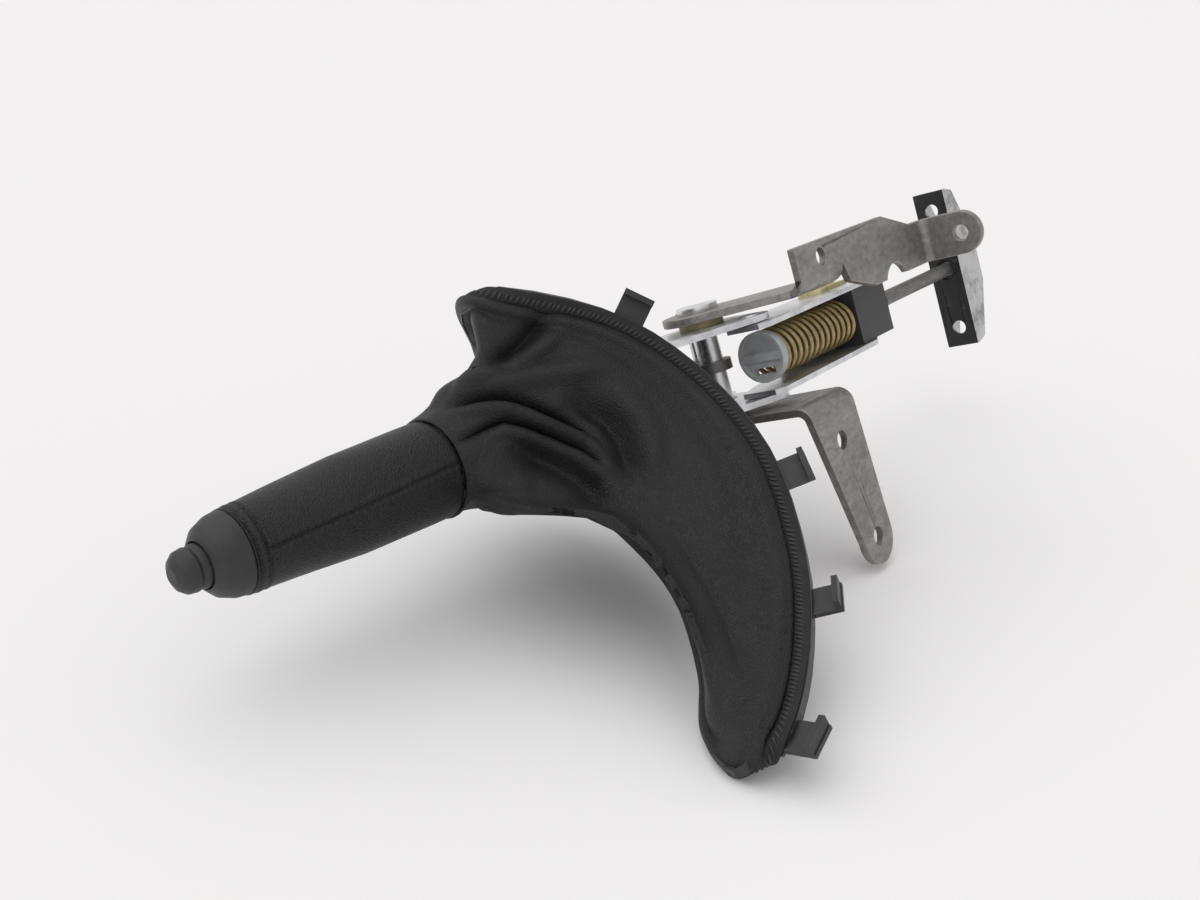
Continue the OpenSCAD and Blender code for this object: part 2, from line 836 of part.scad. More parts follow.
module equaliser() {
    half = equaliser_len / 2;
    color([0.12, 0.12, 0.12]) lay() rod_frame() translate([web_x, 0, 0]) {
        difference() {
            translate([-equaliser_t / 2, -half, -equaliser_h / 2])
                cube([equaliser_t, equaliser_len, equaliser_h]);
            bar_x(rod_hole_r, -equaliser_t, equaliser_t);
            for (side = [-1, 1]) translate([0, side * cable_span / 2, 0])
                bar_x(cable_hole_r, -equaliser_t, equaliser_t);
        }
        for (z = [-equaliser_h / 2, equaliser_h / 2 - equaliser_t]) translate([-equaliser_t / 2, 0, z])
            linear_extrude(equaliser_t) polygon([
                [0, -half], [0, half], [-equaliser_tip, half - tip_slope], [-equaliser_deep, flange_mid],
                [-equaliser_deep, -flange_mid], [-equaliser_tip, tip_slope - half]
            ]);
    }
}

// Boot

module frame_clip(i) {
    p = rim(i) + rim_down(i) * frame_h / 2;
    t = rim_dir(i);
    d = rim_down(i);
    s = rim_side(i);
    multmatrix([
        [t.x, s.x, d.x, p.x],
        [t.y, s.y, d.y, p.y],
        [t.z, s.z, d.z, p.z],
        [0, 0, 0, 1]
    ]) {
        translate([-clip_w / 2, -frame_t / 2, -clip_root]) cube([clip_w, clip_t, clip_len]);
        translate([-clip_w / 2, -frame_t / 2, barb_at]) cube([clip_w, barb_reach, barb_t]);
    }
}

module boot_frame() {
    rings = [for (i = [0 : rim_count - 1])
        let (p = rim(i), d = rim_down(i) * frame_h / 2, s = rim_side(i) * frame_t / 2)
        [p - d - s, p - d + s, p + d + s, p + d - s]];
    color([0.08, 0.08, 0.08]) lay() {
        skin(rings, true);
        for (i = clip_steps) frame_clip(i);
    }
}

// A point of the boot's outside, from the rim (u = 0) to the neck (u = 1)
function boot_point(i, u) =
    let (
        edge = rim(i) - rim_down(i) * (frame_h / 2 + hem_lift),
        turn = atan2(edge.z - neck_mid.z, edge.y),
        neck = grip_point(neck_at, neck_r, turn),
        back = grip_point(neck_at - neck_run, neck_r, turn),
        w = 1 - u
    )
    w * w * w * edge + 3 * w * w * u * (edge * (1 - boot_flare) + back * boot_flare)
        + 3 * w * u * u * back + u * u * u * neck;

// The same point, moved in by the thickness of the leather
function boot_inside(i, u) =
    let (
        n = rim_count,
        round_it = boot_point((i + 1) % n, u) - boot_point((i + n - 1) % n, u),
        up_it = boot_point(i, u + boot_step) - boot_point(i, u - boot_step)
    )
    boot_point(i, u) + boot_t * unit(cross(round_it, up_it));

module boot() {
    steps = [for (j = [0 : boot_rings - 1]) j / (boot_rings - 1)];
    wall = [for (u = steps) [for (i = [0 : rim_count - 1]) boot_point(i, u)]];
    inside = [for (u = steps) [for (i = [0 : rim_count - 1]) boot_inside(i, 1 - u)]];
    color([0.1, 0.1, 0.1]) lay() skin(concat(wall, inside), true);
}

bracket_right();
bracket_left();
pivot_pin();
stop_pin();
ratchet_sector();
lever_tube();
lever_cheeks();
pivot_bushes();
cheek_rivets();
grip_core();
grip_sleeve();
grip_collar();
spring_seat();
release_button();
button_rod();
button_spring();
pawl();
pawl_pin();
link_channel();
adjuster_block();
guide_shoe();
adjuster_spring();
spring_cap();
pull_rod();
rod_nut();
equaliser();
boot_frame();
boot();
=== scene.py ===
"""A parking brake lever that lies on its side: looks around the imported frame, in metres."""
import json
import math

import bpy
import numpy as np
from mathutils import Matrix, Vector


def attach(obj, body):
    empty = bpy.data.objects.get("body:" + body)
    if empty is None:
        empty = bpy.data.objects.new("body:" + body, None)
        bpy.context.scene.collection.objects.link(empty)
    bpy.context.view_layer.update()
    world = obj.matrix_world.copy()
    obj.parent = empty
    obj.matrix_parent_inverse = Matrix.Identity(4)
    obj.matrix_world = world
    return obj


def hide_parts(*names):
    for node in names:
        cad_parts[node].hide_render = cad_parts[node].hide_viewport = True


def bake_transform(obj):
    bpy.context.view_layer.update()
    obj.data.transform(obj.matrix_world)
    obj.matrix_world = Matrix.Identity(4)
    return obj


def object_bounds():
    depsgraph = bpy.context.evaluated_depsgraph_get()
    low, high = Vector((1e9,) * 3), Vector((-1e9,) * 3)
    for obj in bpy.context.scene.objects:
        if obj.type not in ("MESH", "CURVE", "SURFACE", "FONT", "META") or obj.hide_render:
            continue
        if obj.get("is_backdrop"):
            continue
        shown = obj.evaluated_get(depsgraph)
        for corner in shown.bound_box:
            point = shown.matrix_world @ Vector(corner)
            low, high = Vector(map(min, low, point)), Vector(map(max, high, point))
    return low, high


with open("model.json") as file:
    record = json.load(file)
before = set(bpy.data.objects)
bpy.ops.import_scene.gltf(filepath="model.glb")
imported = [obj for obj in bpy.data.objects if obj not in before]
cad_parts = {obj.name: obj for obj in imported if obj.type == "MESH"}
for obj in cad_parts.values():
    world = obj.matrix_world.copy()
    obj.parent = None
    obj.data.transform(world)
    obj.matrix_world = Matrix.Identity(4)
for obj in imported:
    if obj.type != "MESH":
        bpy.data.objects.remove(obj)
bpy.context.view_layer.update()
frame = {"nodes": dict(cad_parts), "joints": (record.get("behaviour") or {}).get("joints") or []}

# Camera of the photograph, as a place and a direction in the part's frame
CAMERA_AT = Vector((0.5404, 0.2682, 0.2312))
CAMERA_LOOK = Vector((-0.7414, -0.5600, -0.3698))
CAMERA_NEAR = 0.01
IMAGE_WIDTH = 1200
IMAGE_HEIGHT = 900
FOCAL_PX = 1363.8
SENSOR_MM = 36.0

# The lever's working frame, from its pivot: x forward, y left, z up, in millimetres
MM = 0.001
PIVOT_JOINT = next(j for j in frame["joints"] if j["name"] == "lever_pivot")
PIVOT = np.array(PIVOT_JOINT["pos_m"])
FORWARD = np.array([1.0, 0.0, 0.0])
LEFT = -np.array(PIVOT_JOINT["axis"])
UPWARD = np.cross(FORWARD, LEFT)
AXES = np.array([FORWARD, LEFT, UPWARD])

# Lever and grip, in millimetres and degrees
LEVER_RISE = math.radians(18.8)
GRIP_RISE = math.radians(6.3)
BEND_DIST = 158.0
SLEEVE_START = 9.0
SLEEVE_LEN = 89.0
SLEEVE_END = SLEEVE_START + SLEEVE_LEN
SLEEVE_REAR_R = 21.9
SLEEVE_FRONT_R = 17.4
SLEEVE_LAP = 11.0
HEM_S = SLEEVE_START - SLEEVE_LAP

# Boot frame: points on its rim in the working frame, listed round its loop
RIM_POINTS = np.array([
    [105, 64, 38], [71, 41, 2], [54, 7, -26], [58, -33, -54], [83, -72, -75], [122, -97, -93],
    [162, -112, -104], [172, -120, -90], [160, -112, -74], [126, -102, -52],
    [76, -82, -6], [44, -46, 57], [39, -2, 94], [62, 40, 84],
], float)
RIM_OUT = np.array([-0.67, 0.23, -0.71])
RIM_STEP = 0.25
FRAME_H = 10.0
FRAME_T = 4.0


# Helpers

def place(points):
    """Working-frame millimetres to metres in the part's frame."""
    return PIVOT + (np.asarray(points, float) * MM) @ AXES


def unit(v):
    return v / np.linalg.norm(v, axis=-1, keepdims=True)


def smooth(low, high, x):
    """0 at low and 1 at high, with a soft step between them."""
    t = np.clip((x - low) / (high - low), 0.0, 1.0)
    return t * t * (3.0 - 2.0 * t)


def hump(x, at, width):
    """A soft hump of height 1 round a place."""
    return np.exp(-((x - at) / width) ** 2)


def lengths_along(points):
    """The distance along a line of points to each of them."""
    return np.concatenate([[0.0], np.cumsum(np.linalg.norm(np.diff(points, axis=0), axis=1))])


def along(rise):
    return np.array([math.cos(rise), 0.0, math.sin(rise)])


def across(rise):
    return np.array([-math.sin(rise), 0.0, math.cos(rise)])


BEND_POINT = BEND_DIST * along(LEVER_RISE)
SIDEWAYS = np.array([0.0, 1.0, 0.0])


def grip_point(s, r, turn):
    """Points round the grip: s along it from the bend, r off its middle, at an angle."""
    s, r, turn = (np.asarray(value)[..., None] for value in (s, r, turn))
    return (BEND_POINT + s * along(GRIP_RISE)
            + r * (np.cos(turn) * SIDEWAYS + np.sin(turn) * across(GRIP_RISE)))


# Camera

def camera_axes():
    back = -CAMERA_LOOK.normalized()
    right = Vector((0, 0, 1)).cross(back).normalized()
    return np.array([right, back.cross(right), back])


def pixels(points):
    """Where points in the part's frame fall in the photograph."""
    seen = (points - np.array(CAMERA_AT)) @ camera_axes().T
    depth = -seen[..., 2]
    return np.stack([
        IMAGE_WIDTH / 2 + FOCAL_PX * seen[..., 0] / depth,
        IMAGE_HEIGHT / 2 - FOCAL_PX * seen[..., 1] / depth,
    ], axis=-1)


def add_camera():
    data = bpy.data.cameras.new("camera")
    data.sensor_fit = "HORIZONTAL"
    data.sensor_width = SENSOR_MM
    data.lens = FOCAL_PX / IMAGE_WIDTH * SENSOR_MM
    data.clip_start = CAMERA_NEAR
    camera = bpy.data.objects.new("camera", data)
    camera.location = CAMERA_AT
    camera.rotation_mode = "QUATERNION"
    camera.rotation_quaternion = CAMERA_LOOK.to_track_quat("-Z", "Y")
    bpy.context.scene.collection.objects.link(camera)
    bpy.context.scene.camera = camera


# Materials

NOISE_SPAN = (0.3, 0.7)
EDGE_SPAN = (0.99, 0.8)
EDGE_SAMPLES = 4

# Sockets of the Mix node when it mixes colours
MIX_SHARE, MIX_FIRST, MIX_SECOND, MIX_RESULT = 0, 6, 7, 2


def shade(colour, by):
    """A colour made lighter or darker, up to white."""
    return tuple(min(1.0, by * c) for c in colour)


class Surface:
    """A procedural material: a Principled shader and the nodes that feed it."""

    def __init__(self, name, roughness=0.5, metallic=0.0):
        self.material = bpy.data.materials.new(name)
        self.material.use_nodes = True
        self.tree = self.material.node_tree
        self.shader = self.tree.nodes["Principled BSDF"]
        self.set("Roughness", roughness)
        self.set("Metallic", metallic)
        self.place = self.tree.nodes.new("ShaderNodeTexCoord").outputs["Object"]
        self.normal = None

    def set(self, socket, value):
        self.shader.inputs[socket].default_value = value

    def link(self, source, target):
        self.tree.links.new(source, target)

    def noise(self, scale, detail=4.0, roughness=0.55, stretch=None):
        node = self.tree.nodes.new("ShaderNodeTexNoise")
        node.inputs["Scale"].default_value = scale
        node.inputs["Detail"].default_value = detail
        node.inputs["Roughness"].default_value = roughness
        source = self.place
        if stretch:
            mapping = self.tree.nodes.new("ShaderNodeMapping")
            mapping.inputs["Scale"].default_value = stretch
            self.link(source, mapping.inputs["Vector"])
            source = mapping.outputs["Vector"]
        self.link(source, node.inputs["Vector"])
        return node.outputs["Fac"]

    def cells(self, scale):
        node = self.tree.nodes.new("ShaderNodeTexVoronoi")
        node.feature = "DISTANCE_TO_EDGE"
        node.inputs["Scale"].default_value = scale
        self.link(self.place, node.inputs["Vector"])
        return node.outputs["Distance"]

    def ramp(self, source, stops):
        node = self.tree.nodes.new("ShaderNodeValToRGB")
        elements = node.color_ramp.elements
        while len(elements) < len(stops):
            elements.new(0.5)
        for element, (at, colour) in zip(elements, stops):
            element.position = at
            element.color = (*colour, 1.0)
        self.link(source, node.inputs["Fac"])
        return node.outputs["Color"]

    def mix(self, share, first, second):
        node = self.tree.nodes.new("ShaderNodeMix")
        node.data_type = "RGBA"
        self.link(share, node.inputs[MIX_SHARE])
        self.link(first, node.inputs[MIX_FIRST])
        self.link(second, node.inputs[MIX_SECOND])
        return node.outputs[MIX_RESULT]

    def spread(self, source, given, wanted):
        """A value whose span from given's two ends is mapped to wanted's."""
        node = self.tree.nodes.new("ShaderNodeMapRange")
        for socket, value in zip(("From Min", "From Max", "To Min", "To Max"), (*given, *wanted)):
            node.inputs[socket].default_value = value
        self.link(source, node.inputs["Value"])
        return node.outputs["Result"]

    def dot(self, first):
        """A dot product of a vector and the node's second input."""
        node = self.tree.nodes.new("ShaderNodeVectorMath")
        node.operation = "DOT_PRODUCT"
        self.link(first, node.inputs[0])
        return node

    def edge_wear(self, size):
        """High on sharp edges, from a bevelled normal set against the true one."""
        bevel = self.tree.nodes.new("ShaderNodeBevel")
        bevel.samples = EDGE_SAMPLES
        bevel.inputs["Radius"].default_value = size
        dot = self.dot(bevel.outputs["Normal"])
        self.link(self.tree.nodes.new("ShaderNodeNewGeometry").outputs["Normal"], dot.inputs[1])
        return self.spread(dot.outputs["Value"], EDGE_SPAN, (0.0, 1.0))

    def colour(self, source):
        self.link(source, self.shader.inputs["Base Color"])

    def rough(self, source, wanted):
        self.link(self.spread(source, NOISE_SPAN, wanted), self.shader.inputs["Roughness"])

    def bump(self, height, strength, distance):
        """A bump over those made before it."""
        node = self.tree.nodes.new("ShaderNodeBump")
        node.inputs["Strength"].default_value = strength
        node.inputs["Distance"].default_value = distance
        self.link(height, node.inputs["Height"])
        if self.normal is not None:
            self.link(self.normal, node.inputs["Normal"])
        self.normal = node.outputs["Normal"]
        self.link(self.normal, self.shader.inputs["Normal"])


def leather(name, dark, light, rough):
    """Grained leather, with soft blotches and paler scuffs."""
    s = Surface(name)
    blotch = s.noise(scale=28.0, detail=5.0)
    scuff = s.noise(scale=160.0, detail=6.0, roughness=0.7)
    body = s.ramp(blotch, [(0.3, dark), (0.7, light)])
    wear_and_lit_faces = s.ramp(scuff, [(0.0, light), (1.0, shade(light, by=1.6))])
    s.colour(s.mix(s.spread(scuff, given=(0.55, 0.8), wanted=(0.0, 0.35)), body, wear_and_lit_faces))
    s.rough(blotch, rough)
    grain = s.spread(s.cells(scale=900.0), given=(0.0, 0.3), wanted=(0.0, 1.0))
    s.bump(grain, strength=0.7, distance=0.00035)
    s.bump(s.noise(scale=1900.0, detail=3.0), strength=0.4, distance=0.0002)
    s.bump(s.noise(scale=85.0, detail=5.0), strength=0.35, distance=0.0014)
    s.set("Specular IOR Level", 0.42)
    return s.material


def plastic(name, dark, light, rough):
    """Dusty moulded plastic, paler on its edges."""
    s = Surface(name)
    dust = s.noise(scale=90.0, detail=6.0, roughness=0.7)
    body = s.ramp(dust, [(0.35, dark), (0.75, light)])
    wear_and_lit_faces = s.ramp(dust, [(0.0, light), (1.0, shade(light, by=1.7))])
    s.colour(s.mix(s.edge_wear(size=0.0006), body, wear_and_lit_faces))
    s.rough(dust, rough)
    s.bump(s.noise(scale=1500.0, detail=3.0), strength=0.25, distance=0.0002)
    return s.material


def steel(name, dark, light, stain, rough, metallic=0.75):
    """Bare steel: rolled streaks, handling marks and brown stains."""
    s = Surface(name, metallic=metallic)
    streak = s.noise(scale=330.0, detail=6.0, roughness=0.7, stretch=(0.5, 1.0, 1.0))
    mark = s.noise(scale=38.0, detail=9.0, roughness=0.72)
    body = s.ramp(streak, [(0.3, dark), (0.7, light)])
    brown = s.ramp(mark, [(0.4, stain), (0.8, dark)])
    stained = s.mix(s.spread(mark, given=(0.52, 0.75), wanted=(0.0, 0.75)), body, brown)
    bright = s.ramp(streak, [(0.2, light), (0.8, shade(light, by=1.5))])
    s.colour(s.mix(s.edge_wear(size=0.0008), stained, bright))
    s.rough(mark, rough)
    s.bump(streak, strength=0.12, distance=0.0006)
    s.bump(s.noise(scale=700.0, detail=4.0), strength=0.15, distance=0.00025)
    return s.material


def zinc(name, dark, light, rough, metallic=0.9):
    """Bright zinc plate: mottled, with dull patches."""
    s = Surface(name, metallic=metallic)
    patch = s.noise(scale=60.0, detail=6.0, roughness=0.65)
    fleck = s.noise(scale=420.0, detail=4.0, roughness=0.6)
    body = s.ramp(patch, [(0.3, dark), (0.6, light)])
    flecks = s.ramp(fleck, [(0.3, dark), (0.9, light)])
    s.colour(s.mix(s.spread(fleck, given=(0.5, 0.75), wanted=(0.0, 0.5)), body, flecks))
    s.rough(patch, rough)
    s.bump(s.noise(scale=260.0, detail=5.0), strength=0.2, distance=0.0004)
    s.bump(s.noise(scale=40.0, detail=3.0), strength=0.25, distance=0.0015)
    return s.material


def nylon(name, dark, light, pale, rough):
    """Natural nylon under old grease."""
    s = Surface(name)
    grease = s.noise(scale=140.0, detail=7.0, roughness=0.7)
    s.colour(s.ramp(grease, [(0.3, dark), (0.55, light), (0.8, pale)]))
    s.rough(grease, rough)
    s.set("Subsurface Weight", 0.15)
    s.bump(s.noise(scale=220.0, detail=5.0), strength=0.4, distance=0.0008)
    return s.material


def shade_painted_metal(name, painted_shade, bare, face, rough):
    """Painted shade: a glossy black coat on the faces not square to one direction, over bare metal that
    shows on the faces square to it.
    """
    s = Surface(name)
    patch = s.noise(scale=75.0, detail=7.0, roughness=0.7)
    dot = s.dot(s.tree.nodes.new("ShaderNodeTexCoord").outputs["Normal"])
    dot.inputs[1].default_value = face
    size = s.tree.nodes.new("ShaderNodeMath")
    size.operation = "ABSOLUTE"
    s.link(dot.outputs["Value"], size.inputs[0])
    # The black coat on faces not square to the direction is painted shade; faces square to it show bare
    # metal.
    wear_and_lit_faces = s.spread(size.outputs[0], given=(0.75, 0.9), wanted=(0.0, 0.9))
    dull = shade(bare, by=0.4)
    # The black coat is painted shade, with chipped patches that show the metal.
    shade_coat = s.ramp(patch, [(0.3, painted_shade), (0.8, painted_shade)])
    under = s.ramp(patch, [(0.3, dull), (0.8, bare)])
    chipped = s.mix(s.spread(patch, given=(0.6, 0.72), wanted=(0.0, 0.5)), shade_coat, under)
    s.colour(s.mix(wear_and_lit_faces, chipped, s.ramp(patch, [(0.35, dull), (0.55, bare)])))
    s.link(wear_and_lit_faces, s.shader.inputs["Metallic"])
    s.rough(patch, rough)
    s.bump(s.noise(scale=300.0, detail=4.0), strength=0.15, distance=0.0004)
    return s.material


LOOKS = {
    "boot_leather": (leather, dict(dark=(0.006, 0.006, 0.007), light=(0.014, 0.014, 0.016),
                                   rough=(0.42, 0.60))),
    "grip_leather": (leather, dict(dark=(0.005, 0.005, 0.006), light=(0.011, 0.011, 0.012),
                                   rough=(0.34, 0.52))),
    "band": (plastic, dict(dark=(0.005, 0.005, 0.005), light=(0.011, 0.011, 0.011),
                           rough=(0.6, 0.85))),
    "thread": (plastic, dict(dark=(0.014, 0.014, 0.015), light=(0.034, 0.034, 0.035),
                             rough=(0.45, 0.65))),
    "black_plastic": (plastic, dict(dark=(0.016, 0.016, 0.017), light=(0.030, 0.030, 0.032),
                                    rough=(0.36, 0.58))),
    "block_plastic": (plastic, dict(dark=(0.030, 0.030, 0.033), light=(0.060, 0.060, 0.066),
                                    rough=(0.4, 0.6))),
    "bare_steel": (steel, dict(dark=(0.19, 0.18, 0.17), light=(0.35, 0.335, 0.32),
                               stain=(0.17, 0.135, 0.105), rough=(0.34, 0.54))),
    "dark_steel": (steel, dict(dark=(0.13, 0.125, 0.12), light=(0.24, 0.235, 0.23),
                               stain=(0.12, 0.09, 0.07), rough=(0.36, 0.6))),
    "zinc_plate": (zinc, dict(dark=(0.50, 0.51, 0.53), light=(0.82, 0.83, 0.85), rough=(0.22, 0.42))),
    "cap_zinc": (zinc, dict(dark=(0.34, 0.35, 0.36), light=(0.52, 0.53, 0.54),
                            rough=(0.35, 0.55), metallic=0.3)),
    "spring_wire": (steel, dict(dark=(0.27, 0.20, 0.085), light=(0.48, 0.375, 0.185),
                                stain=(0.12, 0.08, 0.03), rough=(0.28, 0.45), metallic=0.8)),
    # The equaliser's black coat is painted shade on its faces not square to UPWARD; its own metal is
    # bare.
    "black_steel": (shade_painted_metal, dict(painted_shade=(0.010, 0.010, 0.011), bare=(0.66, 0.66, 0.67),
                                     face=tuple(UPWARD), rough=(0.2, 0.42))),
    "nylon": (nylon, dict(dark=(0.30, 0.22, 0.09), light=(0.66, 0.56, 0.30),
                          pale=(0.80, 0.72, 0.46), rough=(0.25, 0.6))),
}
MATERIALS = {name: make(name, **values) for name, (make, values) in LOOKS.items()}

NODE_MATERIALS = {
    "bare_steel": ("bracket_right", "bracket_left"),
    "dark_steel": ("lever_tube", "ratchet_sector", "pawl", "pull_rod", "rod_nut"),
    "zinc_plate": ("link_channel", "lever_cheeks", "cheek_rivets", "pivot_pin", "stop_pin",
                   "pawl_pin", "button_rod"),
    "cap_zinc": ("spring_cap",),
    "spring_wire": ("adjuster_spring", "button_spring"),
    "block_plastic": ("adjuster_block",),
    "black_plastic": ("grip_core", "grip_collar", "release_button", "spring_seat", "boot_frame"),
    # Painted shade: the equaliser's black coat.
    "black_steel": ("equaliser",),
    "grip_leather": ("grip_sleeve",),
    "boot_leather": ("boot",),
    "nylon": ("guide_shoe", "pivot_bushes"),
}

# Nodes whose sharp edges are broken, with the width of the break in metres
BROKEN_EDGES = {
    "bracket_right": 0.0005, "bracket_left": 0.0005, "link_channel": 0.0005, "lever_cheeks": 0.0004,
    "equaliser": 0.0004, "adjuster_block": 0.0006, "spring_cap": 0.0003, "boot_frame": 0.0004,
    "grip_collar": 0.0008, "release_button": 0.0007, "pivot_pin": 0.0008, "stop_pin": 0.0005,
}
BREAK_STEPS = 2
BREAK_ANGLE = math.radians(35)
WELD_REACH = 0.00001


def dress_nodes():
    for material, nodes in NODE_MATERIALS.items():
        for name in nodes:
            node = frame["nodes"][name]
            node.data.materials.clear()
            node.data.materials.append(MATERIALS[material])
    for name, width in BROKEN_EDGES.items():
        break_edges(frame["nodes"][name], width)


def break_edges(node, width):
    weld = node.modifiers.new("weld", "WELD")
    weld.merge_threshold = WELD_REACH
    bevel = node.modifiers.new("bevel", "BEVEL")
    bevel.width = width
    bevel.segments = BREAK_STEPS
    bevel.limit_method = "ANGLE"
    bevel.angle_limit = BREAK_ANGLE
    bevel.harden_normals = True


# Mesh helpers

def add_mesh(name, points, faces, material):
    mesh = bpy.data.meshes.new(name)
    mesh.from_pydata([tuple(p) for p in place(points).reshape(-1, 3)], [], faces)
    mesh.update()
    mesh.materials.append(MATERIALS[material])
    for polygon in mesh.polygons:
        polygon.use_smooth = True
    piece = bpy.data.objects.new(name, mesh)
    bpy.context.scene.collection.objects.link(piece)
    return piece


def grid_faces(rows, columns):
    """Quads of a grid of rows and columns, closed across the columns."""
    return [
        (j * columns + i, j * columns + (i + 1) % columns,
         (j + 1) * columns + (i + 1) % columns, (j + 1) * columns + i)
        for j in range(rows - 1) for i in range(columns)
    ]


def tube_faces(rings, sides):
    """Quads of a tube, and a cap at each end."""
    first = tuple(reversed(range(sides)))
    last = tuple((rings - 1) * sides + i for i in range(sides))
    return grid_faces(rings, sides) + [first, last]


# Boot

BOOT_COLUMNS = 336
BOOT_ROWS = 130
LEATHER_T = 1.6
HEM_OUT = 0.9
HEM_DROP = 2.0
NECK_BEHIND = 0.5
NECK_UNDER = 0.9
NECK_S = HEM_S - NECK_BEHIND
NECK_R = SLEEVE_REAR_R - NECK_UNDER
NECK_RUN = 10.0
NECK_SPREAD = 4.0
BOOT_FLARE = 0.45


def rim_at(t):
    """The closed smooth curve through the rim points."""
    n = len(RIM_POINTS)
    k = np.floor(t).astype(int)
    f = (t - k)[:, None]
    a, b, c, d = (RIM_POINTS[(k + step) % n] for step in (-1, 0, 1, 2))
    return (2 * b + (c - a) * f + (2 * a - 5 * b + 4 * c - d) * f ** 2
            + (3 * b - a - 3 * c + d) * f ** 3) / 2


def rim_frame(count):
    """Points of the rim, with the ways along it, down (to the clips) and out (off the loop)."""
    t = np.arange(count) * len(RIM_POINTS) / count
    points = rim_at(t)
    way = unit(rim_at(t + RIM_STEP) - rim_at(t - RIM_STEP))
    down = unit(RIM_OUT - (way @ RIM_OUT)[:, None] * way)
    out = np.cross(way, down)
    if np.sum(out * (points - points.mean(0))) < 0:
        out = -out
    return points, way, down, out


def boot_surface():
    """The boot's outside as rows of points, from the hem on its frame to the neck at the grip."""
    points, _, down, out = rim_frame(BOOT_COLUMNS)
    edge = points + out * (FRAME_T / 2 + HEM_OUT) - down * (FRAME_H / 2 - HEM_DROP)
    middle = grip_point(NECK_S, 0.0, 0.0)
    turn = np.arctan2(edge[:, 2] - middle[2], edge[:, 1])
    neck = grip_point(NECK_S, NECK_R, turn)
    back = grip_point(NECK_S - NECK_RUN, NECK_R + NECK_SPREAD, turn)
    far = edge * (1 - BOOT_FLARE) + back * BOOT_FLARE
    u = np.linspace(0.0, 1.0, BOOT_ROWS)[:, None, None]
    w = 1 - u
    return w ** 3 * edge + 3 * w * w * u * far + 3 * w * u * u * back + u ** 3 * neck


# Outlines of the boot in the photograph, in pixels, from the neck to the two ends of its frame
LOWER_OUTLINE = [
    (405, 534), (430, 524), (456, 514), (493, 512), (519, 511), (560, 512), (600, 515), (625, 525),
    (653, 553), (686, 606), (704, 655), (709, 690), (709, 728), (720, 753), (738, 772),
]
UPPER_OUTLINE = [
    (350, 446), (363, 437), (377, 428), (410, 415), (433, 404), (443, 393), (460, 383), (478, 372),
    (481, 340), (470, 315), (466, 296),
]
OUTLINE_STEP = 3.0
OUTLINE_BLUR = 8
OUTLINE_SOFT = 12.0
PIXEL_BATCHES = 40

# Shares of the way from hem to neck over which the pull of the outlines comes and goes
PULL_COMES = (0.0, 0.08)
PULL_GOES = (1.0, 0.93)
SLACK_LEFT = 10.0


def outline_samples(line, inside):
    """Points along an outline and its smoothed normals to the inside: 1 is right of the line, -1 left."""
    line = np.array(line, float)
    lengths = lengths_along(line)
    at = np.arange(0.0, lengths[-1], OUTLINE_STEP)
    points = np.stack([np.interp(at, lengths, line[:, k]) for k in (0, 1)], axis=1)
    reach = 3 * OUTLINE_BLUR
    weights = np.exp(-0.5 * (np.arange(-reach, reach + 1) / OUTLINE_BLUR) ** 2)
    longer = np.pad(np.gradient(points, axis=0), ((reach, reach), (0, 0)), mode="edge")
    way = unit(np.stack([np.convolve(longer[:, k], weights, "valid") for k in (0, 1)], axis=1))
    return points, inside * np.stack([-way[:, 1], way[:, 0]], axis=1)


def pull_inside(grid, line, inside, share):
    """Moves the points that fall outside an outline of the photograph just inside it, across the view."""
    at = place(grid)
    seen = pixels(at)
    points, normals = outline_samples(line, inside)
    flat = seen.reshape(-1, 2)
    nearest = np.concatenate([
        np.argmin(((batch[:, None, :] - points[None]) ** 2).sum(-1), axis=1)
        for batch in np.array_split(flat, PIXEL_BATCHES)
    ])
    depth_in = np.sum((flat - points[nearest]) * normals[nearest], axis=1)
    kept = OUTLINE_SOFT * np.logaddexp(0.0, depth_in / OUTLINE_SOFT)
    shift = (normals[nearest] * (kept - depth_in)[:, None]).reshape(seen.shape) * share[..., None]
    right, up, back = camera_axes()
    depth = -(at - np.array(CAMERA_AT)) @ back
    moved = at + (shift[..., :1] * right - shift[..., 1:] * up) * (depth / FOCAL_PX)[..., None]
    return ((moved - PIVOT) @ AXES.T) / MM


def normals_of(grid):
    """Outward unit normals of a grid that is closed across its columns."""
    round_it = np.roll(grid, -1, axis=1) - np.roll(grid, 1, axis=1)
    up_it = np.gradient(grid, axis=0)
    return -unit(np.cross(round_it, up_it))


